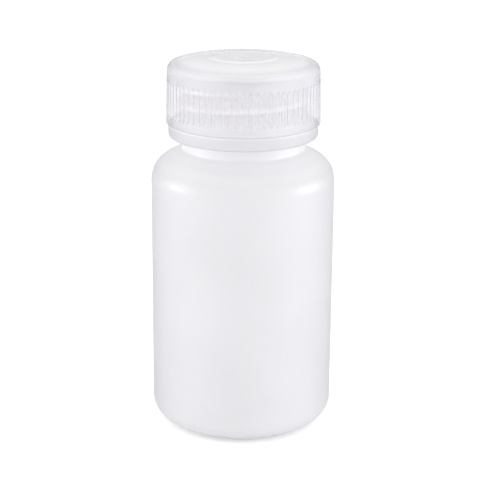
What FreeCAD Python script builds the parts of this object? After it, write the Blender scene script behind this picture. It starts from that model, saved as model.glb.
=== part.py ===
import FreeCAD, Part

import math
import os

import Sketcher

# Wide-mouth plastic reagent bottle with a screw cap, in millimetres.
# Z is the bottle's axis and z = 0 is the plane that it stands on.
doc = FreeCAD.newDocument("ReagentBottle")

# Driving dimensions. Heights are above the standing plane unless the name says otherwise.
sheet = doc.addObject("Spreadsheet::Sheet", "Sizes")
driving = {
    # Bottle body
    "body_diameter": 48.0,
    "body_wall": 1.2,
    "side_top_height": 66.45,
    "base_corner_width": 8.0,
    "base_corner_height": 6.1,
    "heel_radius": 5.3,
    "foot_width": 2.4,
    "push_up_height": 1.8,
    "shoulder_radius": 7.1,
    "shoulder_slope_degrees": 27.2,
    # Neck and its ring
    "neck_diameter": 32.0,
    "neck_wall": 1.9,
    "neck_root_radius": 0.8,
    "rim_edge_radius": 0.45,
    "ring_reach": 3.5,
    "ring_height": 78.1,
    "ring_thickness": 3.1,
    "ring_lower_radius": 0.63,
    "ring_upper_radius": 0.5,
    # Thread of neck and cap, one start, right-handed
    "thread_pitch": 4.233,
    "thread_depth": 1.5,
    "thread_crest_width": 1.0,
    "thread_base_width": 2.5,
    "thread_start_above_ring": 3.3,
    "thread_turns": 1.75,
    "rim_above_thread": 3.4,
    "thread_side_play": 0.3,
    "thread_lift": 0.25,
    # Cap
    "cap_gap": 0.45,
    "cap_skirt_wall": 2.0,
    "cap_skirt_draft": 0.26,
    "cap_lower_edge_radius": 0.4,
    "cap_mouth_chamfer": 0.5,
    "crown_height": 3.5,
    "crown_edge_radius": 2.2,
    "crown_width": 10.8,
    "cap_top_thickness": 2.4,
    "flute_count": 72,
    "flute_radius": 0.75,
    "flute_depth": 0.42,
    "flute_below_top": 5.3,
    "flute_above_edge": 2.15,
    # Seal liner and the bead that holds it in the cap
    "liner_thickness": 1.0,
    "liner_side_play": 0.3,
    "bead_depth": 0.55,
    "bead_half_height": 0.5,
    "bead_play": 0.15,
}
for row, (name, number) in enumerate(driving.items(), start=1):
    sheet.set(f"A{row}", name)
    sheet.set(f"B{row}", str(number))
    sheet.setAlias(f"B{row}", name)
doc.recompute()


class Size:
    """A length with its value and the expression that binds it to the sheet."""

    def __init__(self, value, text):
        self.value = value
        self.text = text

    def __float__(self):
        return float(self.value)

    def joined(self, sign, other, value):
        right = other.text if isinstance(other, Size) else repr(other)
        return Size(value, f"({self.text} {sign} {right})")

    def __add__(self, other):
        return self.joined("+", other, float(self) + float(other))

    def __sub__(self, other):
        return self.joined("-", other, float(self) - float(other))

    def __mul__(self, other):
        return self.joined("*", other, float(self) * float(other))

    def __truediv__(self, other):
        return self.joined("/", other, float(self) / float(other))


def size(name):
    return Size(sheet.get(name), f"Sizes.{name}")


def origin_part(body, role):
    return next(part for part in body.Origin.OriginFeatures if part.Role == role)


def new_sketch(body, name, plane="XZ_Plane"):
    sketch = body.newObject("Sketcher::SketchObject", name)
    sketch.AttachmentSupport = [(origin_part(body, plane), "")]
    sketch.MapMode = "FlatFace"
    return sketch


def bind(sketch, constraint, length):
    index = sketch.addConstraint(constraint)
    sketch.setExpression(f"Constraints[{index}]", length.text)


def flat_point(point):
    return FreeCAD.Vector(float(point[0]), float(point[1]), 0)


def trace(sketch, corners, centres=None, smooth=()):
    """Closed outline through named corners.

    Each corner starts an edge to the next one: an arc where a centre is given under the corner's
    name, and a line elsewhere. The edges meet tangentially at the corners named in smooth. An edge
    comes back under its first corner's name, as its number and the ends where it starts and stops.
    """
    centres = centres or {}
    names = list(corners)
    edges = {}
    for name, following in zip(names, names[1:] + names[:1]):
        start = flat_point(corners[name])
        stop = flat_point(corners[following])
        if name not in centres:
            line = sketch.addGeometry(Part.LineSegment(start, stop), False)
            edges[name] = (line, 1, 2)
            continue
        centre = flat_point(centres[name])
        circle = Part.Circle(centre, FreeCAD.Vector(0, 0, 1), (start - centre).Length)
        forward = (start - centre).cross(stop - centre).z > 0
        ends = (start, stop) if forward else (stop, start)
        angles = [math.atan2(end.y - centre.y, end.x - centre.x) for end in ends]
        arc = sketch.addGeometry(Part.ArcOfCircle(circle, *angles), False)
        edges[name] = (arc, 1, 2) if forward else (arc, 2, 1)
    for name, previous in zip(names, names[-1:] + names[:-1]):
        kind = "Tangent" if name in smooth else "Coincident"
        before, _, stop = edges[previous]
        edge, start, _ = edges[name]
        sketch.addConstraint(Sketcher.Constraint(kind, before, stop, edge, start))
    return edges


def fix(sketch, edges, corner, across=None, up=None):
    """Dimension a corner from the sketch's axes; a plain 0 puts it on the axis itself."""
    edge, start, _ = edges[corner]
    for kind, axis, length in (("DistanceX", -2, across), ("DistanceY", -1, up)):
        if length is None:
            continue
        if isinstance(length, Size):
            bind(sketch, Sketcher.Constraint(kind, -1, 1, edge, start, float(length)), length)
        else:
            sketch.addConstraint(Sketcher.Constraint("PointOnObject", edge, start, axis))


def fix_all(sketch, edges, corners):
    for corner, (across, up) in corners.items():
        fix(sketch, edges, corner, across, up)


def fix_radius(sketch, edges, corner, radius):
    bind(sketch, Sketcher.Constraint("Radius", edges[corner][0], float(radius)), radius)


def centre_on_axis(sketch, edges, corner):
    sketch.addConstraint(Sketcher.Constraint("PointOnObject", edges[corner][0], 3, -2))


def turned(body, kind, sketch, name):
    feature = body.newObject(f"PartDesign::{kind}", name)
    feature.Profile = sketch
    feature.ReferenceAxis = (sketch, ["V_Axis"])
    feature.Angle = 360
    doc.recompute()
    return feature


def soft_corner(side, flat, radius):
    """Junction and centres of two tangent arcs from an upright side to a level flat.

    The arc at the side has the given radius, and the one at the flat follows from the corner.
    """
    across = float(side[0]) - float(radius) - float(flat[0])
    rise = float(flat[1]) - float(side[1])
    drop = abs(rise)
    wide = (across**2 + drop**2 - float(radius) ** 2) / (2 * (drop - float(radius)))
    near = FreeCAD.Vector(float(side[0]) - float(radius), float(side[1]), 0)
    far = FreeCAD.Vector(float(flat[0]), float(flat[1]) - math.copysign(wide, rise), 0)
    junction = far + (near - far).normalize() * wide
    return junction, near, far


def shoulder_points(side, radius, slope, neck, root):
    """Ends of the shoulder's slope, foot of the neck and the two arcs' centres."""
    lean = math.radians(90 - float(slope))
    outward = FreeCAD.Vector(math.cos(lean), math.sin(lean), 0)
    along = FreeCAD.Vector(-math.sin(lean), math.cos(lean), 0)
    centre = FreeCAD.Vector(float(side[0]) - float(radius), float(side[1]), 0)
    low = centre + outward * float(radius)
    root_x = float(neck) + float(root)
    high = low + along * ((low.x + float(root) * outward.x - root_x) / math.sin(lean))
    root_centre = high + outward * float(root)
    foot = FreeCAD.Vector(float(neck), root_centre.y, 0)
    return low, high, foot, centre, root_centre


# Lengths that more than one piece is built on
body_radius = size("body_diameter") / 2
neck_radius = size("neck_diameter") / 2
mouth_radius = neck_radius - size("neck_wall")
thread_radius = neck_radius + size("thread_depth")
cap_bore_radius = thread_radius + size("thread_side_play")
ring_top = size("ring_height") + size("ring_thickness")
cap_base = ring_top + size("cap_gap")
thread_height = ring_top + size("thread_start_above_ring")
thread_end = thread_height + size("thread_turns") * size("thread_pitch")
rim_height = thread_end + size("rim_above_thread")
cap_ceiling = rim_height + size("liner_thickness")
cap_top = cap_ceiling + size("cap_top_thickness")


def add_thread(body, name, plane, root, crest, height):
    """Helical ridge from a four-sided section between the root and crest radii."""
    sketch = new_sketch(body, f"{name}Section", plane)
    crest_half = size("thread_crest_width") / 2
    base_half = size("thread_base_width") / 2
    corners = {
        "low_root": (root, height - base_half),
        "low_crest": (crest, height - crest_half),
        "high_crest": (crest, height + crest_half),
        "high_root": (root, height + base_half),
    }
    fix_all(sketch, trace(sketch, corners), corners)
    helix = body.newObject("PartDesign::AdditiveHelix", name)
    helix.Profile = sketch
    helix.ReferenceAxis = (sketch, ["V_Axis"])
    helix.Mode = "pitch-turns-angle"
    helix.setExpression("Pitch", "Sizes.thread_pitch")
    helix.setExpression("Turns", "Sizes.thread_turns")
    doc.recompute()
    return helix


def bottle_skin(body, name, side, heel, turn, floor, dome, neck, root, lip):
    """Half section of the bottle's outside or inside, from its axis to its rim."""
    sketch = new_sketch(body, name)
    foot_outer = body_radius - size("base_corner_width")
    foot_inner = foot_outer - size("foot_width")
    corner_top = size("base_corner_height")
    side_top = size("side_top_height")
    slope = size("shoulder_slope_degrees")
    rim_edge = size("rim_edge_radius")
    join, heel_centre, base_centre = soft_corner((side, corner_top), (foot_outer, floor), heel)
    low, high, neck_foot, turn_centre, root_centre = shoulder_points(
        (side, side_top), turn, slope, neck, root
    )
    sag = float(dome) - float(floor)
    dome_radius = (float(foot_inner) ** 2 + sag**2) / (2 * sag)
    corners = {
        "foot_inner": (foot_inner, floor),
        "foot_outer": (foot_outer, floor),
        "heel": join,
        "side_low": (side, corner_top),
        "side_high": (side, side_top),
        "slope_low": low,
        "slope_high": high,
        "neck_low": neck_foot,
        "neck_high": (neck, rim_height - rim_edge),
        "rim": (lip, rim_height),
        "rim_centre": (0, rim_height),
        "base_centre": (0, dome),
    }
    centres = {
        "foot_outer": base_centre,
        "heel": heel_centre,
        "side_high": turn_centre,
        "slope_high": root_centre,
        "neck_high": (lip, rim_height - rim_edge),
        "base_centre": (0, float(dome) - dome_radius),
    }
    smooth = [name for name in corners if name not in ("foot_inner", "rim_centre", "base_centre")]
    edges = trace(sketch, corners, centres, smooth)
    for name in ("foot_inner", "foot_outer", "side_low", "side_high", "rim_centre", "base_centre"):
        fix(sketch, edges, name, *corners[name])
    fix(sketch, edges, "neck_low", across=neck)
    fix(sketch, edges, "neck_high", across=neck)
    fix(sketch, edges, "rim", up=rim_height)
    fix_radius(sketch, edges, "heel", heel)
    fix_radius(sketch, edges, "side_high", turn)
    fix_radius(sketch, edges, "slope_high", root)
    fix_radius(sketch, edges, "neck_high", rim_edge)
    lean = Size(math.radians(180 - float(slope)), f"(180 - {slope.text})")
    bind(sketch, Sketcher.Constraint("Angle", edges["slope_low"][0], lean.value), lean)
    centre_on_axis(sketch, edges, "base_centre")
    return sketch


def build_bottle():
    """Blown body with a pushed-up base, sloping shoulder, ringed neck and outside thread."""
    body = doc.addObject("PartDesign::Body", "bottle")
    wall = size("body_wall")
    outside = bottle_skin(
        body,
        "Outside",
        side=body_radius,
        heel=size("heel_radius"),
        turn=size("shoulder_radius"),
        floor=0,
        dome=size("push_up_height"),
        neck=neck_radius,
        root=size("neck_root_radius"),
        lip=neck_radius - size("rim_edge_radius"),
    )
    turned(body, "Revolution", outside, "Blank")

    ring_sketch = new_sketch(body, "RingSection")
    ring_inner = (mouth_radius + neck_radius) / 2
    ring_outer = neck_radius + size("ring_reach")
    low_edge = size("ring_lower_radius")
    high_edge = size("ring_upper_radius")
    underside = size("ring_height")
    corners = {
        "inner_low": (ring_inner, underside),
        "under_edge": (ring_outer - low_edge, underside),
        "outer_low": (ring_outer, underside + low_edge),
        "outer_high": (ring_outer, ring_top - high_edge),
        "top_edge": (ring_outer - high_edge, ring_top),
        "inner_high": (ring_inner, ring_top),
    }
    centres = {
        "under_edge": (ring_outer - low_edge, underside + low_edge),
        "outer_high": (ring_outer - high_edge, ring_top - high_edge),
    }
    edges = trace(ring_sketch, corners, centres, ("under_edge", "outer_low", "outer_high", "top_edge"))
    fix(ring_sketch, edges, "inner_low", ring_inner, underside)
    fix(ring_sketch, edges, "under_edge", up=underside)
    fix(ring_sketch, edges, "outer_low", across=ring_outer)
    fix(ring_sketch, edges, "outer_high", across=ring_outer)
    fix(ring_sketch, edges, "top_edge", up=ring_top)
    fix(ring_sketch, edges, "inner_high", ring_inner, ring_top)
    fix_radius(ring_sketch, edges, "under_edge", low_edge)
    fix_radius(ring_sketch, edges, "outer_high", high_edge)
    turned(body, "Revolution", ring_sketch, "NeckRing")

    inside = bottle_skin(
        body,
        "Inside",
        side=body_radius - wall,
        heel=size("heel_radius") - wall,
        turn=size("shoulder_radius") - wall,
        floor=wall,
        dome=size("push_up_height") + wall,
        neck=mouth_radius,
        root=size("neck_root_radius") + size("neck_wall"),
        lip=mouth_radius + size("rim_edge_radius"),
    )
    turned(body, "Groove", inside, "Cavity")

    thread_root = (ring_inner + neck_radius) / 2
    body.Tip = add_thread(body, "NeckThread", "XZ_Plane", thread_root, thread_radius, thread_height)
    return body


def build_liner():
    """Flat seal disc between the bottle's rim and the cap's ceiling."""
    body = doc.addObject("PartDesign::Body", "seal_liner")
    sketch = new_sketch(body, "LinerSection")
    edge = cap_bore_radius - size("liner_side_play")
    corners = {
        "under_centre": (0, rim_height),
        "under_edge": (edge, rim_height),
        "top_edge": (edge, cap_ceiling),
        "top_centre": (0, cap_ceiling),
    }
    fix_all(sketch, trace(sketch, corners), corners)
    body.Tip = turned(body, "Revolution", sketch, "Disc")
    return body


def build_cap():
    """Screw cap: rounded crown, fluted skirt, liner bead and inside thread."""
    body = doc.addObject("PartDesign::Body", "screw_cap")
    upper = cap_bore_radius + size("cap_skirt_wall")
    lower = upper + size("cap_skirt_draft")
    edge_round = size("cap_lower_edge_radius")
    crown_foot = cap_top - size("crown_height")
    crown_flat = upper - size("crown_width")
    crown_edge = size("crown_edge_radius")

    outside = new_sketch(body, "Outside")
    join, edge_centre, crown_centre = soft_corner((upper, crown_foot), (crown_flat, cap_top), crown_edge)
    corners = {
        "under_centre": (0, cap_base),
        "under_edge": (lower - edge_round, cap_base),
        "skirt_low": (lower, cap_base + edge_round),
        "skirt_high": (upper, crown_foot),
        "crown_edge": join,
        "crown_flat": (crown_flat, cap_top),
        "crown_centre": (0, cap_top),
    }
    centres = {
        "under_edge": (lower - edge_round, cap_base + edge_round),
        "skirt_high": edge_centre,
        "crown_edge": crown_centre,
    }
    smooth = ("under_edge", "skirt_low", "skirt_high", "crown_edge", "crown_flat")
    edges = trace(outside, corners, centres, smooth)
    for name in ("under_centre", "skirt_high", "crown_flat", "crown_centre"):
        fix(outside, edges, name, *corners[name])
    fix(outside, edges, "under_edge", up=cap_base)
    fix(outside, edges, "skirt_low", across=lower)
    fix_radius(outside, edges, "under_edge", edge_round)
    fix_radius(outside, edges, "skirt_high", crown_edge)
    turned(body, "Revolution", outside, "Blank")

    inside = new_sketch(body, "Inside")
    chamfer = size("cap_mouth_chamfer")
    depth = size("bead_depth")
    half = size("bead_half_height")
    bead_high = rim_height - size("bead_play")
    bead_low = bead_high - half * 2
    bead_radius = (half * half + depth * depth) / (depth * 2)
    corners = {
        "mouth_centre": (0, cap_base),
        "mouth_edge": (cap_bore_radius + chamfer, cap_base),
        "bore_low": (cap_bore_radius, cap_base + chamfer),
        "bead_low": (cap_bore_radius, bead_low),
        "bead_high": (cap_bore_radius, bead_high),
        "ceiling_edge": (cap_bore_radius, cap_ceiling),
        "ceiling_centre": (0, cap_ceiling),
    }
    bead_centre = (cap_bore_radius - depth + bead_radius, bead_high - half)
    edges = trace(inside, corners, {"bead_low": bead_centre})
    fix_all(inside, edges, corners)
    fix_radius(inside, edges, "bead_low", bead_radius)
    turned(body, "Groove", inside, "Hollow")

    flute = new_sketch(body, "FluteSection")
    flute_radius = size("flute_radius")
    flute_axis = (lower + upper) / 2 + flute_radius - size("flute_depth")
    flute.AttachmentOffset = FreeCAD.Placement(
        FreeCAD.Vector(float(flute_axis), 0, 0), FreeCAD.Rotation()
    )
    flute.setExpression("AttachmentOffset.Base.x", flute_axis.text)
    flute_low = cap_base + size("flute_above_edge")
    flute_high = cap_top - size("flute_below_top")
    deepest = -float(flute_radius)
    corners = {
        "foot": (0, flute_low),
        "head": (0, flute_high),
        "deep_high": (deepest, flute_high - flute_radius),
        "deep_low": (deepest, flute_low + flute_radius),
    }
    centres = {"head": (0, flute_high - flute_radius), "deep_low": (0, flute_low + flute_radius)}
    edges = trace(flute, corners, centres, ("deep_high", "deep_low"))
    fix(flute, edges, "foot", 0, flute_low)
    fix(flute, edges, "head", 0, flute_high)
    for name in centres:
        fix_radius(flute, edges, name, flute_radius)
        centre_on_axis(flute, edges, name)
    groove = turned(body, "Groove", flute, "Flute")
    pattern = body.newObject("PartDesign::PolarPattern", "Flutes")
    pattern.Originals = [groove]
    pattern.Axis = (origin_part(body, "Z_Axis"), [""])
    pattern.Angle = 360
    body.Tip = pattern
    pattern.setExpression("Occurrences", "Sizes.flute_count")
    doc.recompute()

    root = cap_bore_radius + size("thread_side_play")
    crest = neck_radius + size("thread_side_play")
    height = thread_height - size("thread_pitch") / 4 + size("thread_lift")
    body.Tip = add_thread(body, "CapThread", "YZ_Plane", root, crest, height)
    return body


bodies = [build_bottle(), build_liner(), build_cap()]
doc.recompute()

for item in doc.Objects:
    if {"Invalid", "Error"} & set(item.State):
        raise RuntimeError(f"{item.Label}: {item.State}")
    if item.isDerivedFrom("Sketcher::SketchObject") and not item.FullyConstrained:
        raise RuntimeError(f"{item.Label} is not fully dimensioned")

os.makedirs("parts", exist_ok=True)
for body in bodies:
    shape = body.Shape
    if shape.isNull() or not shape.isValid() or len(shape.Solids) != 1:
        raise RuntimeError(f"{body.Label} is not one valid solid")
    shape.exportStep(f"parts/{body.Label}.step")
    print(body.Label, round(shape.Volume), "mm3", shape.BoundBox)
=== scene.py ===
import math

import bmesh
import bpy
from mathutils import Matrix, Vector


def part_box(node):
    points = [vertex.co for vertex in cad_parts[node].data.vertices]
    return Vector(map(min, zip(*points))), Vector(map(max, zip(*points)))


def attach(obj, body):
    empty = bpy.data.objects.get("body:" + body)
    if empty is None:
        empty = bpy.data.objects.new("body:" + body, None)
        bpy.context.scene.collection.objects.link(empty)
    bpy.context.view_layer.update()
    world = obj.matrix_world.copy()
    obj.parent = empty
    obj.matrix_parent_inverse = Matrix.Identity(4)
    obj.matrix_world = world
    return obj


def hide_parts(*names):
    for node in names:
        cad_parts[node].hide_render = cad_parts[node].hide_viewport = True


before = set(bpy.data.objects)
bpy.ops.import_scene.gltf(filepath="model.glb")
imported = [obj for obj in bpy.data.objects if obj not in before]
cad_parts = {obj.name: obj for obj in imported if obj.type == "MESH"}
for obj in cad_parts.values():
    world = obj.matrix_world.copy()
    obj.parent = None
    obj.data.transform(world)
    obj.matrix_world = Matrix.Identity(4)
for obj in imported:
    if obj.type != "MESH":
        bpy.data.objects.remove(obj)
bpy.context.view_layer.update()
scene = bpy.context.scene
scene.view_settings.view_transform = "Standard"

# The camera looks slightly down on the bottle from the front, as the photograph's does. Its place,
# lens and small roll come from fitting the bottle's outline to the photograph.
FRAME_PIXELS = 485
FOCAL_PIXELS = 1503.6
CAMERA_DISTANCE = 0.400
CAMERA_ELEVATION = math.radians(17.45)
CAMERA_ROLL = math.radians(0.4)
AIM_HEIGHT = 0.04865
camera_data = bpy.data.cameras.new("camera")
camera_data.sensor_width = 36
camera_data.lens = FOCAL_PIXELS / FRAME_PIXELS * camera_data.sensor_width
camera = bpy.data.objects.new("camera", camera_data)
scene.collection.objects.link(camera)
backwards = Vector((0, -math.cos(CAMERA_ELEVATION), math.sin(CAMERA_ELEVATION)))
camera.location = Vector((0, 0, AIM_HEIGHT)) + backwards * CAMERA_DISTANCE
aim = (-backwards).to_track_quat("-Z", "Y").to_matrix().to_4x4()
turned = aim @ Matrix.Rotation(CAMERA_ROLL, 4, "Z")
camera.rotation_euler = turned.to_euler()
scene.camera = camera

# The bottle: one blow-moulded piece of natural polypropylene, milky and thin-walled. The base is
# pushed up inside a narrow foot ring, and the neck carries a solid ring and a single-start thread.
bottle_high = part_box("bottle")[1]
BODY_RADIUS = bottle_high.x
RIM_HEIGHT = bottle_high.z
BODY_WALL = 0.0012
BASE_CORNER_WIDTH = 0.0080
BASE_CORNER_HEIGHT = 0.0061
HEEL_RADIUS = 0.0053
FOOT_WIDTH = 0.0024
PUSH_UP_HEIGHT = 0.0018
SIDE_TOP_HEIGHT = 0.06645
SHOULDER_RADIUS = 0.0071
SHOULDER_SLOPE = math.radians(27.2)
NECK_RADIUS = 0.0160
NECK_WALL = 0.0019
NECK_ROOT_RADIUS = 0.0008
RIM_EDGE_RADIUS = 0.00045
RING_RADIUS = 0.0195
RING_HEIGHT = 0.0781
RING_TOP = 0.0816
RING_LOWER_RADIUS = 0.00063
RING_UPPER_RADIUS = 0.00025
THREAD_PITCH = 0.004233
THREAD_TURNS = 1.75
THREAD_DEPTH = 0.0015
THREAD_START = 0.0845
THREAD_CREST_HALF = 0.0005
THREAD_ROOT_HALF = 0.00107
THREAD_FADE = math.radians(50)
BOTTLE_STEPS = 256
DOME_STEPS = 16
BASE_STEPS = 10
HEEL_STEPS = 14
SHOULDER_STEPS = 20
NECK_ROOT_STEPS = 8
EDGE_STEPS = 6
FOOT_CUTS = 2
SIDE_CUTS = 40
SLOPE_CUTS = 6
RING_CUTS = 3
NECK_CUTS = 72
MOUTH_CUTS = 20
QUARTER_TURN = math.pi / 2
SNAP = 1e-6


def line_to(shape, path, across, up, cuts=0):
    """Extend the profile in a straight line, with extra points along it where cuts asks for them."""
    start = path[-1].co.copy()
    stop = Vector((across, 0, up))
    for part in range(1, cuts + 2):
        point = shape.verts.new(start.lerp(stop, part / (cuts + 1)))
        shape.edges.new((path[-1], point))
        path.append(point)


def arc_to(shape, path, centre, angle, steps):
    """Extend the profile round a centre; a positive angle turns anticlockwise seen from the front."""
    made = bmesh.ops.spin(
        shape, geom=[path[-1]], cent=(centre[0], 0, centre[1]), axis=(0, -1, 0), angle=angle, steps=steps
    )
    added = [made["geom_last"][0]]
    while True:
        edge = next(e for e in added[-1].link_edges if e.other_vert(added[-1]) not in added)
        following = edge.other_vert(added[-1])
        if following == path[-1]:
            break
        added.append(following)
    path.extend(reversed(added))


def soft_corner(side, flat, radius):
    """Centres and turns of two tangent arcs from an upright side to a level flat."""
    across = side[0] - radius - flat[0]
    drop = abs(flat[1] - side[1])
    wide = (across**2 + drop**2 - radius**2) / (2 * (drop - radius))
    up = math.copysign(1, flat[1] - side[1])
    near = (side[0] - radius, side[1])
    far = (flat[0], flat[1] - up * wide)
    tight_turn = math.atan2(abs(near[1] - far[1]), near[0] - far[0])
    return near, far, tight_turn, QUARTER_TURN - tight_turn


def revolve(shape, path, steps):
    """Turn the profile an eighth round the axis, double that three times, and close all seams."""
    eighth = math.tau / 8
    bmesh.ops.spin(
        shape, geom=path + shape.edges[:], cent=(0, 0, 0), axis=(0, 0, 1), angle=eighth, steps=steps // 8
    )
    for turn in (eighth, 2 * eighth, 4 * eighth):
        made = bmesh.ops.duplicate(shape, geom=shape.verts[:] + shape.edges[:] + shape.faces[:])
        points = [item for item in made["geom"] if isinstance(item, bmesh.types.BMVert)]
        bmesh.ops.rotate(shape, verts=points, cent=(0, 0, 0), matrix=Matrix.Rotation(turn, 3, "Z"))
    bmesh.ops.remove_doubles(shape, verts=shape.verts, dist=SNAP)
    bmesh.ops.recalc_face_normals(shape, faces=shape.faces)


def thread_rise(point, start, root_half, first_angle=0):
    """How much of the thread's full depth stands at a point, from 0 to 1."""
    angle = (math.atan2(point.y, point.x) - first_angle) % math.tau
    whole = THREAD_TURNS * math.tau
    best = 0
    for turn in range(math.ceil(THREAD_TURNS) + 1):
        along = angle + turn * math.tau
        if along > whole:
            break
        off = abs(point.z - start - THREAD_PITCH * along / math.tau)
        flank = min(max((root_half - off) / (root_half - THREAD_CREST_HALF), 0), 1)
        ends = min(along, whole - along) / THREAD_FADE
        best = max(best, flank * min(ends, 1) ** 0.5)
    return best


def finish_piece(shape, name):
    """Turn the built shape into a smooth-shaded object in the scene."""
    mesh = bpy.data.meshes.new(name)
    shape.to_mesh(mesh)
    shape.free()
    mesh.shade_smooth()
    piece = bpy.data.objects.new(name, mesh)
    scene.collection.objects.link(piece)
    return piece


def add_bottle_skin(shape, path, inset, neck, root, floor):
    """Base corner, side, shoulder and neck foot, from the foot ring up."""
    side = BODY_RADIUS - inset
    foot = BODY_RADIUS - BASE_CORNER_WIDTH
    near, far, tight, wide = soft_corner((side, BASE_CORNER_HEIGHT), (foot, floor), HEEL_RADIUS - inset)
    arc_to(shape, path, far, wide, BASE_STEPS)
    arc_to(shape, path, near, tight, HEEL_STEPS)
    line_to(shape, path, side, SIDE_TOP_HEIGHT, SIDE_CUTS)
    lean = QUARTER_TURN - SHOULDER_SLOPE
    arc_to(shape, path, (BODY_RADIUS - SHOULDER_RADIUS, SIDE_TOP_HEIGHT), lean, SHOULDER_STEPS)
    low = path[-1].co
    run = (low.x + root * math.cos(lean) - neck - root) / math.sin(lean)
    line_to(shape, path, low.x - run * math.sin(lean), low.z + run * math.cos(lean), SLOPE_CUTS)
    high = path[-1].co
    root_centre = (high.x + root * math.cos(lean), high.z + root * math.sin(lean))
    arc_to(shape, path, root_centre, -lean, NECK_ROOT_STEPS)


bottle_shape = bmesh.new()
foot_inner = BODY_RADIUS - BASE_CORNER_WIDTH - FOOT_WIDTH
dome_radius = (foot_inner**2 + PUSH_UP_HEIGHT**2) / (2 * PUSH_UP_HEIGHT)
dome_turn = math.asin(foot_inner / dome_radius)
mouth_radius = NECK_RADIUS - NECK_WALL
rim_side = RIM_HEIGHT - RIM_EDGE_RADIUS
ring_lower = (RING_RADIUS - RING_LOWER_RADIUS, RING_HEIGHT + RING_LOWER_RADIUS)
ring_upper = (RING_RADIUS - RING_UPPER_RADIUS, RING_TOP - RING_UPPER_RADIUS)
outside = [bottle_shape.verts.new((0, 0, PUSH_UP_HEIGHT))]
arc_to(bottle_shape, outside, (0, PUSH_UP_HEIGHT - dome_radius), -dome_turn, DOME_STEPS)
line_to(bottle_shape, outside, BODY_RADIUS - BASE_CORNER_WIDTH, 0, FOOT_CUTS)
add_bottle_skin(bottle_shape, outside, 0, NECK_RADIUS, NECK_ROOT_RADIUS, 0)
line_to(bottle_shape, outside, NECK_RADIUS, RING_HEIGHT, RING_CUTS + 1)
line_to(bottle_shape, outside, ring_lower[0], RING_HEIGHT, RING_CUTS)
arc_to(bottle_shape, outside, ring_lower, QUARTER_TURN, EDGE_STEPS)
line_to(bottle_shape, outside, RING_RADIUS, ring_upper[1], RING_CUTS + 1)
arc_to(bottle_shape, outside, ring_upper, QUARTER_TURN, EDGE_STEPS)
line_to(bottle_shape, outside, NECK_RADIUS, RING_TOP, RING_CUTS)
line_to(bottle_shape, outside, NECK_RADIUS, rim_side, NECK_CUTS)
arc_to(bottle_shape, outside, (NECK_RADIUS - RIM_EDGE_RADIUS, rim_side), QUARTER_TURN, EDGE_STEPS)
line_to(bottle_shape, outside, mouth_radius + RIM_EDGE_RADIUS, RIM_HEIGHT, 1)
arc_to(bottle_shape, outside, (mouth_radius + RIM_EDGE_RADIUS, rim_side), QUARTER_TURN, EDGE_STEPS)
inside = [bottle_shape.verts.new((0, 0, PUSH_UP_HEIGHT + BODY_WALL))]
arc_to(bottle_shape, inside, (0, PUSH_UP_HEIGHT + BODY_WALL - dome_radius), -dome_turn, DOME_STEPS)
line_to(bottle_shape, inside, BODY_RADIUS - BASE_CORNER_WIDTH, BODY_WALL, FOOT_CUTS)
add_bottle_skin(bottle_shape, inside, BODY_WALL, mouth_radius, NECK_ROOT_RADIUS + NECK_WALL, BODY_WALL)
line_to(bottle_shape, inside, mouth_radius, outside[-1].co.z, MOUTH_CUTS)
revolve(bottle_shape, outside + inside, BOTTLE_STEPS)
for vert in bottle_shape.verts:
    reach = vert.co.xy.length
    if abs(reach - NECK_RADIUS) < SNAP and RING_TOP < vert.co.z < rim_side:
        rise = thread_rise(vert.co, THREAD_START, THREAD_ROOT_HALF)
        vert.co.xy *= 1 + rise * THREAD_DEPTH / NECK_RADIUS
bottle = finish_piece(bottle_shape, "bottle_moulding")

# The milky skin. Each tone is a colour and, as its fourth number, the weight of a darkening coat that
# stands for the plastic's own absorption. The shoulder and neck carry a weaker coat, a painted lift
# against the shade under the ring and inside the cap, and the rounding above the side is darker,
# a painted shade that tames its highlight. The thread grooves carry painted shade.
POLYPROPYLENE_IOR = 1.49
FOOT_TONE = (0.985, 0.982, 0.99, 0.3)
BODY_TONE = (0.985, 0.982, 0.99, 1)
ROUND_PAINTED_SHADE = (0.955, 0.952, 0.96, 0.9)
SHOULDER_PAINTED_LIFT = (0.982, 0.979, 0.987, 0.2)
RING_TONE = (0.92, 0.915, 0.935, 1)
NECK_PAINTED_LIFT = (0.99, 0.987, 0.995, 0.25)
ROUND_BLEND = 0.0015
ROUND_SHADE_END = 0.0035
SLOPE_TONE_START = 0.0075
RING_BLEND = 0.0006
RING_EDGE_BLEND = 0.0001
COAT_TINT = (0.80, 0.80, 0.81, 1)
GROOVE_PAINTED_SHADE = 0.875
NECK_POLISH = 0.4
CLOUD_SCALE = 55
CLOUD_TONE = 0.978
FLECK_SCALE = 240
FLECK_TONE = 0.95
FLECK_INNER = 0.02
FLECK_OUTER = 0.05
WAVE_SCALE = 85
WAVE_DEPTH = 0.00006
PEEL_SCALE = 1300
PEEL_DEPTH = 0.000003
SEAM_TOP_HALF = 0.00004
SEAM_FOOT_HALF = 0.0002
SEAM_DEPTH = 0.00003
SATIN_SCALE = 140
SATIN_ROUGHNESS = (0.29, 0.37)
MILK_SHARE = 0.5
bottle_plastic = bpy.data.materials.new("bottle_plastic")
bottle_plastic.use_nodes = True
nodes, links = bottle_plastic.node_tree.nodes, bottle_plastic.node_tree.links


def noise(nodes, links, where, scale, detail=2):
    """A noise pattern in the piece's own metres; scale counts its features per metre."""
    pattern = nodes.new("ShaderNodeTexNoise")
    pattern.inputs["Scale"].default_value = scale
    pattern.inputs["Detail"].default_value = detail
    links.new(where, pattern.inputs["Vector"])
    return pattern.outputs["Fac"]


def spread(nodes, links, value, lowest, highest, start=0.3, stop=0.7):
    """Stretch a pattern over a range of values."""
    range_node = nodes.new("ShaderNodeMapRange")
    numbers = {"From Min": start, "From Max": stop, "To Min": lowest, "To Max": highest}
    for socket, number in numbers.items():
        range_node.inputs[socket].default_value = number
    links.new(value, range_node.inputs["Value"])
    return range_node.outputs[0]


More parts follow.
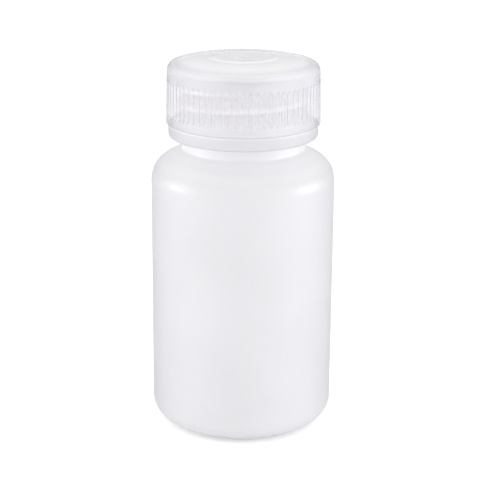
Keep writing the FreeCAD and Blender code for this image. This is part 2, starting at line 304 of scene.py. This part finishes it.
def relief(nodes, links, height, depth, under=None):
    """Raise the surface by a pattern of the given depth in metres, over an earlier relief."""
    bump = nodes.new("ShaderNodeBump")
    bump.inputs["Distance"].default_value = depth
    links.new(height, bump.inputs["Height"])
    if under:
        links.new(under, bump.inputs["Normal"])
    return bump.outputs[0]


def times(nodes, links, first, second):
    """Multiply two colours or values."""
    product = nodes.new("ShaderNodeVectorMath")
    product.operation = "MULTIPLY"
    links.new(first, product.inputs[0])
    links.new(second, product.inputs[1])
    return product.outputs[0]


def from_axis(nodes, links, place):
    """Distance from the bottle's upright axis."""
    flat = nodes.new("ShaderNodeVectorMath")
    flat.operation = "MULTIPLY"
    flat.inputs[1].default_value = (1, 1, 0)
    reach = nodes.new("ShaderNodeVectorMath")
    reach.operation = "LENGTH"
    links.new(place, flat.inputs[0])
    links.new(flat.outputs[0], reach.inputs[0])
    return reach.outputs["Value"]


place = nodes.new("ShaderNodeTexCoord").outputs["Object"]
axes = nodes.new("ShaderNodeSeparateXYZ")
links.new(place, axes.inputs[0])
tone = nodes.new("ShaderNodeValToRGB")
tone.color_ramp.elements[0].color = FOOT_TONE
tone.color_ramp.elements[1].color = NECK_PAINTED_LIFT
# The ramp paints light: the darker band on the rounding is painted shade, and the lighter shoulder and
# neck are a painted lift.
for height, shade in (
    (BASE_CORNER_HEIGHT, BODY_TONE),
    (SIDE_TOP_HEIGHT - ROUND_BLEND, BODY_TONE),
    (SIDE_TOP_HEIGHT + ROUND_BLEND, ROUND_PAINTED_SHADE),
    (SIDE_TOP_HEIGHT + ROUND_SHADE_END, ROUND_PAINTED_SHADE),
    (SIDE_TOP_HEIGHT + SLOPE_TONE_START, SHOULDER_PAINTED_LIFT),
    (RING_HEIGHT - RING_BLEND, SHOULDER_PAINTED_LIFT),
    (RING_HEIGHT, RING_TONE),
    (RING_TOP - RING_BLEND, RING_TONE),
    (RING_TOP - RING_EDGE_BLEND, NECK_PAINTED_LIFT),
):
    tone.color_ramp.elements.new(height / RIM_HEIGHT).color = shade
links.new(spread(nodes, links, axes.outputs["Z"], 0, 1, 0, RIM_HEIGHT), tone.inputs[0])
cloud = spread(nodes, links, noise(nodes, links, place, CLOUD_SCALE, 3), CLOUD_TONE, 1)
flecks = nodes.new("ShaderNodeTexVoronoi")
flecks.inputs["Scale"].default_value = FLECK_SCALE
links.new(place, flecks.inputs["Vector"])
fleck = spread(nodes, links, flecks.outputs["Distance"], FLECK_TONE, 1, FLECK_INNER, FLECK_OUTER)
# Painted shade: the neck darkens in the thread's grooves, and not below the thread.
thread_shade = nodes.new("ShaderNodeMath")
thread_shade.operation = "MAXIMUM"
thread_crest = NECK_RADIUS + THREAD_DEPTH
painted_root_shade = spread(nodes, links, from_axis(nodes, links, place), GROOVE_PAINTED_SHADE, 1, NECK_RADIUS, thread_crest)
below_thread = spread(nodes, links, axes.outputs["Z"], 1, 0, RING_TOP, RING_TOP + RING_BLEND)
links.new(painted_root_shade, thread_shade.inputs[0])
links.new(below_thread, thread_shade.inputs[1])
tone_and_painted_light = times(nodes, links, tone.outputs[0], thread_shade.outputs[0])
colour = times(nodes, links, times(nodes, links, tone_and_painted_light, cloud), fleck)
waves = relief(nodes, links, noise(nodes, links, place, WAVE_SCALE, 1), WAVE_DEPTH)
peel = relief(nodes, links, noise(nodes, links, place, PEEL_SCALE, 1), PEEL_DEPTH, waves)
across = nodes.new("ShaderNodeMath")
across.operation = "ABSOLUTE"
links.new(axes.outputs["Y"], across.inputs[0])
parting_line = spread(nodes, links, across.outputs[0], 1, 0, SEAM_TOP_HALF, SEAM_FOOT_HALF)
seam = relief(nodes, links, parting_line, SEAM_DEPTH, peel)
skin = nodes["Principled BSDF"]
skin.inputs["IOR"].default_value = POLYPROPYLENE_IOR
skin.inputs["Specular IOR Level"].default_value = 1
links.new(tone.outputs["Alpha"], skin.inputs["Coat Weight"])
skin.inputs["Coat IOR"].default_value = 1.05
skin.inputs["Coat Roughness"].default_value = 0.3
skin.inputs["Coat Tint"].default_value = COAT_TINT
links.new(colour, skin.inputs["Base Color"])
rough = spread(nodes, links, noise(nodes, links, place, SATIN_SCALE, 4), *SATIN_ROUGHNESS)
polish = spread(nodes, links, axes.outputs["Z"], 1, NECK_POLISH, RING_TOP, RING_TOP + RING_BLEND)
links.new(times(nodes, links, rough, polish), skin.inputs["Roughness"])
links.new(seam, skin.inputs["Normal"])
soak = nodes.new("ShaderNodeBsdfTranslucent")
links.new(colour, soak.inputs["Color"])
milk = nodes.new("ShaderNodeMixShader")
milk.inputs[0].default_value = MILK_SHARE
links.new(skin.outputs[0], milk.inputs[1])
links.new(soak.outputs[0], milk.inputs[2])
links.new(milk.outputs[0], nodes["Material Output"].inputs["Surface"])
bottle.data.materials.append(bottle_plastic)
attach(bottle, "bottle")
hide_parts("bottle")

# The seal liner: a flat disc punched from white closed-cell foam. It lies loose under the cap's ceiling,
# where a bead keeps it in, and a tight cap presses it on the rim. It is drawn a touch thin, because
# faces of two pieces that lie in one plane render badly.
liner_low, liner_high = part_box("seal_liner")
LINER_EDGE = 0.00015
LINER_PLAY = 0.00005
LINER_STEPS = 128
# The foam's grey level is partly painted shade for the cap around it, which casts no shadow; the blotches
# are the foam's own.
FOAM_SHADED_DULL = (0.86, 0.86, 0.858, 1)
FOAM_SHADED_WHITE = (0.90, 0.90, 0.90, 1)
FOAM_CELL_SCALE = 2600
FOAM_CELL_DEPTH = 0.00005
FOAM_BLOTCH_SCALE = 320
FOAM_ROUGH_SCALE = 900
FOAM_ROUGHNESS = (0.6, 0.8)
EDGE_PAINTED_SHADE = 0.78
EDGE_SHADE_INNER = 0.0009
EDGE_SHADE_OUTER = 0.0003
liner_shape = bmesh.new()
bmesh.ops.create_cone(
    liner_shape, cap_ends=True, segments=LINER_STEPS, radius1=liner_high.x, radius2=liner_high.x,
    depth=liner_high.z - liner_low.z - LINER_PLAY,
    matrix=Matrix.Translation((0, 0, (liner_low.z + liner_high.z - LINER_PLAY) / 2)),
)
rims = [edge for edge in liner_shape.edges if abs(edge.verts[0].co.z - edge.verts[1].co.z) < SNAP]
bmesh.ops.bevel(
    liner_shape, geom=rims, offset=LINER_EDGE, segments=3, profile=0.5, affect="EDGES", material=-1
)
liner = finish_piece(liner_shape, "seal_liner_disc")
liner_foam = bpy.data.materials.new("liner_foam")
liner_foam.use_nodes = True
nodes, links = liner_foam.node_tree.nodes, liner_foam.node_tree.links
place = nodes.new("ShaderNodeTexCoord").outputs["Object"]
foam = nodes["Principled BSDF"]
cells = nodes.new("ShaderNodeTexVoronoi")
cells.inputs["Scale"].default_value = FOAM_CELL_SCALE
links.new(place, cells.inputs["Vector"])
blotch = nodes.new("ShaderNodeValToRGB")
blotch.color_ramp.elements[0].color = FOAM_SHADED_DULL
blotch.color_ramp.elements[1].color = FOAM_SHADED_WHITE
links.new(noise(nodes, links, place, FOAM_BLOTCH_SCALE, 4), blotch.inputs[0])
# Painted shade: the disc darkens towards its rim, where the cap's wall would shade it.
painted_edge_shade = spread(
    nodes, links, from_axis(nodes, links, place), 1, EDGE_PAINTED_SHADE,
    liner_high.x - EDGE_SHADE_INNER, liner_high.x - EDGE_SHADE_OUTER,
)
links.new(times(nodes, links, blotch.outputs[0], painted_edge_shade), foam.inputs["Base Color"])
rough = spread(nodes, links, noise(nodes, links, place, FOAM_ROUGH_SCALE), *FOAM_ROUGHNESS)
links.new(rough, foam.inputs["Roughness"])
links.new(relief(nodes, links, cells.outputs["Distance"], FOAM_CELL_DEPTH), foam.inputs["Normal"])
liner.data.materials.append(liner_foam)
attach(liner, "liner")
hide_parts("seal_liner")

# The screw cap: one injection-moulded piece of clear polypropylene with a rounded crown, a ring of
# fine flutes for grip, and inside it a thread and a bead that keeps the liner in.
cap_low, cap_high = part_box("screw_cap")
CAP_BASE = cap_low.z
CAP_TOP = cap_high.z
CAP_BORE_RADIUS = 0.0178
CAP_UPPER_RADIUS = 0.0198
CAP_LOWER_RADIUS = 0.02006
CAP_EDGE_RADIUS = 0.0002
CAP_MOUTH_CHAMFER = 0.0005
CROWN_HEIGHT = 0.0035
CROWN_EDGE_RADIUS = 0.0022
CROWN_FLAT_RADIUS = 0.0090
CROWN_DISC_STEP = 0.00018
DISC_EDGE_STEP = 0.00015
BEAD_DEPTH = 0.00055
BEAD_HALF = 0.0005
BEAD_PLAY = 0.00015
FLUTE_COUNT = 72
FLUTE_RADIUS = 0.00075
FLUTE_DEPTH = 0.00042
FLUTE_END = 0.0014
LOWER_BAND = 0.00215
UPPER_BAND = 0.0053
FLUTE_LOW = CAP_BASE + LOWER_BAND
FLUTE_HIGH = CAP_TOP - UPPER_BAND
STEPS_PER_FLUTE = 8
CROWN_STEPS = 10
CROWN_EDGE_STEPS = 12
SKIRT_EDGE_STEPS = 5
BEAD_STEPS = 8
DISC_CUTS = 6
SKIRT_CUTS = 50
BORE_CUTS = 56
POCKET_CUTS = 2
CEILING_CUTS = 4
CAP_THREAD_PLAY = 0.00025
CAP_THREAD_START = THREAD_START - THREAD_PITCH / 4 + CAP_THREAD_PLAY
CAP_THREAD_DEPTH = 0.0015
CAP_THREAD_ROOT_HALF = 0.001125
cap_shape = bmesh.new()
crown = [cap_shape.verts.new((0, 0, CAP_TOP))]
crown_side = (CAP_UPPER_RADIUS, CAP_TOP - CROWN_HEIGHT)
crown_flat = (CROWN_FLAT_RADIUS, CAP_TOP - CROWN_DISC_STEP)
near, far, tight, wide = soft_corner(crown_side, crown_flat, CROWN_EDGE_RADIUS)
line_to(cap_shape, crown, CROWN_FLAT_RADIUS - 3 * DISC_EDGE_STEP, CAP_TOP, DISC_CUTS)
for back, share in ((2, 0.2), (1, 0.8), (0, 1)):
    line_to(cap_shape, crown, CROWN_FLAT_RADIUS - back * DISC_EDGE_STEP, CAP_TOP - CROWN_DISC_STEP * share)
arc_to(cap_shape, crown, far, -wide, CROWN_STEPS)
arc_to(cap_shape, crown, near, -tight, CROWN_EDGE_STEPS)
skirt_edge = (CAP_LOWER_RADIUS - CAP_EDGE_RADIUS, CAP_BASE + CAP_EDGE_RADIUS)
line_to(cap_shape, crown, CAP_LOWER_RADIUS, skirt_edge[1], SKIRT_CUTS)
arc_to(cap_shape, crown, skirt_edge, -QUARTER_TURN, SKIRT_EDGE_STEPS)
line_to(cap_shape, crown, CAP_BORE_RADIUS + CAP_MOUTH_CHAMFER, CAP_BASE, 1)
line_to(cap_shape, crown, CAP_BORE_RADIUS, CAP_BASE + CAP_MOUTH_CHAMFER, 1)
bead_high = liner_low.z - BEAD_PLAY
bead_low = bead_high - 2 * BEAD_HALF
bead_radius = (BEAD_HALF**2 + BEAD_DEPTH**2) / (2 * BEAD_DEPTH)
bead_turn = 2 * math.asin(BEAD_HALF / bead_radius)
bead_centre = (CAP_BORE_RADIUS - BEAD_DEPTH + bead_radius, bead_high - BEAD_HALF)
line_to(cap_shape, crown, CAP_BORE_RADIUS, bead_low, BORE_CUTS)
arc_to(cap_shape, crown, bead_centre, -bead_turn, BEAD_STEPS)
line_to(cap_shape, crown, CAP_BORE_RADIUS, liner_high.z, POCKET_CUTS)
line_to(cap_shape, crown, 0, liner_high.z, CEILING_CUTS)
revolve(cap_shape, crown, FLUTE_COUNT * STEPS_PER_FLUTE)
flute_pitch = math.tau / FLUTE_COUNT
flute_axis = (CAP_LOWER_RADIUS + CAP_UPPER_RADIUS) / 2 + FLUTE_RADIUS - FLUTE_DEPTH
for vert in cap_shape.verts:
    reach = vert.co.xy.length
    if abs(reach - CAP_BORE_RADIUS) < SNAP and CAP_BASE < vert.co.z < bead_low:
        rise = thread_rise(vert.co, CAP_THREAD_START, CAP_THREAD_ROOT_HALF, first_angle=QUARTER_TURN)
        vert.co.xy *= 1 - rise * CAP_THREAD_DEPTH / CAP_BORE_RADIUS
    elif reach > CAP_BORE_RADIUS + CAP_MOUTH_CHAMFER and FLUTE_LOW < vert.co.z < FLUTE_HIGH:
        past_end = max(vert.co.z - FLUTE_HIGH, FLUTE_LOW - vert.co.z) + FLUTE_END
        hollow = FLUTE_RADIUS * math.sqrt(1 - (max(past_end, 0) / FLUTE_END) ** 2)
        off = (math.atan2(vert.co.y, vert.co.x) + flute_pitch / 2) % flute_pitch - flute_pitch / 2
        aside = flute_axis * math.sin(off)
        if abs(aside) < hollow:
            flute_floor = flute_axis * math.cos(off) - math.sqrt(hollow**2 - aside**2)
            vert.co.xy *= min(flute_floor / reach, 1)
cap = finish_piece(cap_shape, "screw_cap_moulding")

# Clear plastic with a little haze, drawn as two see-through skins, so what is inside shows. Its coat
# darkens it where it is seen edge-on, and less on the crown. It hardly dims light, so it casts no shadow.
OUTER_ALPHA = 0.51
INNER_ALPHA = 0.07
CAP_HAZE = (0.966, 0.961, 0.976)
CAP_CLEAR = (0.982, 0.977, 0.99)
CAP_COAT_TINT = (0.755, 0.75, 0.77, 1)
CROWN_COAT = 0.33
CROWN_COAT_LOW = 0.0018
CROWN_COAT_HIGH = 0.0008
CAP_HAZE_SCALE = 110
CAP_ROUGH_SCALE = 420
CAP_ROUGHNESS = (0.1, 0.2)
CAP_PEEL_SCALE = 240
CAP_PEEL_DEPTH = 0.00001
GATE_INNER = 0.0008
GATE_OUTER = 0.0012
GATE_DEPTH = 0.00012
cap.visible_shadow = False


def cap_finish(name, alpha):
    """The clear plastic as a skin of the given opacity."""
    plastic = bpy.data.materials.new(name)
    plastic.use_nodes = True
    nodes, links = plastic.node_tree.nodes, plastic.node_tree.links
    place = nodes.new("ShaderNodeTexCoord").outputs["Object"]
    haze = nodes.new("ShaderNodeValToRGB")
    haze.color_ramp.elements[0].color = (*CAP_HAZE, 1)
    haze.color_ramp.elements[1].color = (*CAP_CLEAR, 1)
    links.new(noise(nodes, links, place, CAP_HAZE_SCALE, 4), haze.inputs[0])
    dimple = spread(nodes, links, from_axis(nodes, links, place), 0, 1, GATE_INNER, GATE_OUTER)
    gate = relief(nodes, links, dimple, GATE_DEPTH)
    peel = relief(nodes, links, noise(nodes, links, place, CAP_PEEL_SCALE, 2), CAP_PEEL_DEPTH, gate)
    clear = nodes["Principled BSDF"]
    clear.inputs["IOR"].default_value = POLYPROPYLENE_IOR
    clear.inputs["Transmission Weight"].default_value = 0.06
    clear.inputs["Specular IOR Level"].default_value = 0.12
    axes = nodes.new("ShaderNodeSeparateXYZ")
    links.new(place, axes.inputs[0])
    crown_heights = (CAP_TOP - CROWN_COAT_LOW, CAP_TOP - CROWN_COAT_HIGH)
    coat = spread(nodes, links, axes.outputs["Z"], 1, CROWN_COAT, *crown_heights)
    links.new(coat, clear.inputs["Coat Weight"])
    clear.inputs["Coat IOR"].default_value = 1.03
    clear.inputs["Coat Roughness"].default_value = 0.14
    clear.inputs["Coat Tint"].default_value = CAP_COAT_TINT
    clear.inputs["Alpha"].default_value = alpha
    links.new(haze.outputs[0], clear.inputs["Base Color"])
    rough = spread(nodes, links, noise(nodes, links, place, CAP_ROUGH_SCALE, 3), *CAP_ROUGHNESS)
    links.new(rough, clear.inputs["Roughness"])
    links.new(peel, clear.inputs["Normal"])
    return plastic


cap.data.materials.append(cap_finish("cap_outside", OUTER_ALPHA))
cap.data.materials.append(cap_finish("cap_inside", INNER_ALPHA))
for face in cap.data.polygons:
    centre = face.center
    if centre.xy.length < CAP_BORE_RADIUS + CAP_MOUTH_CHAMFER and centre.z < liner_high.z + SNAP:
        face.material_index = 1
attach(cap, "cap")
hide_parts("screw_cap")

# A plain white floor sweeps out past the view and keeps the bottle's soft shadow. It glows a little to
# the camera, in reflections and through clear plastic, so it is white without lighting the bottle more.
FLOOR_SIZE = 6.0
FLOOR_COLOUR = (0.95, 0.95, 0.95, 1)
FLOOR_GLOW = 0.13
floor_shape = bmesh.new()
bmesh.ops.create_grid(floor_shape, x_segments=1, y_segments=1, size=FLOOR_SIZE / 2)
floor = finish_piece(floor_shape, "floor")
floor_white = bpy.data.materials.new("floor_white")
floor_white.use_nodes = True
card = floor_white.node_tree.nodes["Principled BSDF"]
card.inputs["Base Color"].default_value = FLOOR_COLOUR
card.inputs["Roughness"].default_value = 0.9
card.inputs["Specular IOR Level"].default_value = 0
card.inputs["Emission Color"].default_value = (1, 1, 1, 1)
nodes, links = floor_white.node_tree.nodes, floor_white.node_tree.links
ray = nodes.new("ShaderNodeLightPath")
seen_or_mirrored = nodes.new("ShaderNodeMath")
seen_at_all = nodes.new("ShaderNodeMath")
glow = nodes.new("ShaderNodeMath")
glow.operation = "MULTIPLY"
glow.inputs[1].default_value = FLOOR_GLOW
links.new(ray.outputs["Is Camera Ray"], seen_or_mirrored.inputs[0])
links.new(ray.outputs["Is Glossy Ray"], seen_or_mirrored.inputs[1])
links.new(seen_or_mirrored.outputs[0], seen_at_all.inputs[0])
links.new(ray.outputs["Is Transmission Ray"], seen_at_all.inputs[1])
links.new(seen_at_all.outputs[0], glow.inputs[0])
links.new(glow.outputs[0], card.inputs["Emission Strength"])
floor.data.materials.append(floor_white)

# Studio light: a softbox at each side, and a white room whose level differs from front to back, to the
# sides and overhead. To the camera the room is white all round, so no horizon shows behind the floor.
SIDE_BOX = (0.60, 0.32)
SIDE_BOX_HEIGHT = 0.165
SIDE_BOX_DISTANCE = 1.00
SIDE_BOX_FORWARD = 0.06
LEFT_RADIANCE = 8.1
RIGHT_RADIANCE = 9.1
FRONT_LEVEL = 1.6
BACK_LEVEL = 0.66
SIDE_LEVEL = 0.95
TOP_LEVEL = 1.18


def softbox(name, place, aim, size, radiance):
    """An evenly lit rectangle of the given brightness, unseen by the camera itself."""
    lamp = bpy.data.lights.new(name, "AREA")
    lamp.shape = "RECTANGLE"
    lamp.size, lamp.size_y = size
    lamp.energy = radiance * math.pi * size[0] * size[1]
    box = bpy.data.objects.new(name, lamp)
    scene.collection.objects.link(box)
    box.location = place
    box.rotation_euler = (Vector(aim) - Vector(place)).to_track_quat("-Z", "Y").to_euler()
    box.visible_camera = False


for name, side, radiance in (("left_softbox", -1, LEFT_RADIANCE), ("right_softbox", 1, RIGHT_RADIANCE)):
    stand = (side * SIDE_BOX_DISTANCE, -SIDE_BOX_FORWARD, SIDE_BOX_HEIGHT)
    softbox(name, stand, (0, 0, SIDE_BOX_HEIGHT), SIDE_BOX, radiance)
world = bpy.data.worlds.new("studio")
scene.world = world
world.use_nodes = True
nodes, links = world.node_tree.nodes, world.node_tree.links
way = nodes.new("ShaderNodeTexCoord")
split = nodes.new("ShaderNodeSeparateXYZ")
behind = nodes.new("ShaderNodeMath")
behind.operation = "GREATER_THAN"
behind.inputs[1].default_value = 0
depth_level = nodes.new("ShaderNodeMapRange")
depth_level.inputs["To Min"].default_value = FRONT_LEVEL
depth_level.inputs["To Max"].default_value = BACK_LEVEL
levels = nodes.new("ShaderNodeCombineXYZ")
levels.inputs["X"].default_value = SIDE_LEVEL
levels.inputs["Z"].default_value = TOP_LEVEL
shares = nodes.new("ShaderNodeVectorMath")
shares.operation = "MULTIPLY"
room = nodes.new("ShaderNodeVectorMath")
room.operation = "DOT_PRODUCT"
links.new(way.outputs["Generated"], split.inputs[0])
links.new(split.outputs["Y"], behind.inputs[0])
links.new(behind.outputs[0], depth_level.inputs["Value"])
links.new(depth_level.outputs[0], levels.inputs["Y"])
links.new(way.outputs["Generated"], shares.inputs[0])
links.new(way.outputs["Generated"], shares.inputs[1])
links.new(shares.outputs[0], room.inputs[0])
links.new(levels.outputs[0], room.inputs[1])
ray = nodes.new("ShaderNodeLightPath")
backdrop = nodes.new("ShaderNodeMath")
backdrop.operation = "MAXIMUM"
links.new(room.outputs["Value"], backdrop.inputs[0])
links.new(ray.outputs["Is Camera Ray"], backdrop.inputs[1])
links.new(backdrop.outputs[0], nodes["Background"].inputs["Strength"])
nodes["Background"].inputs["Color"].default_value = (1, 1, 1, 1)
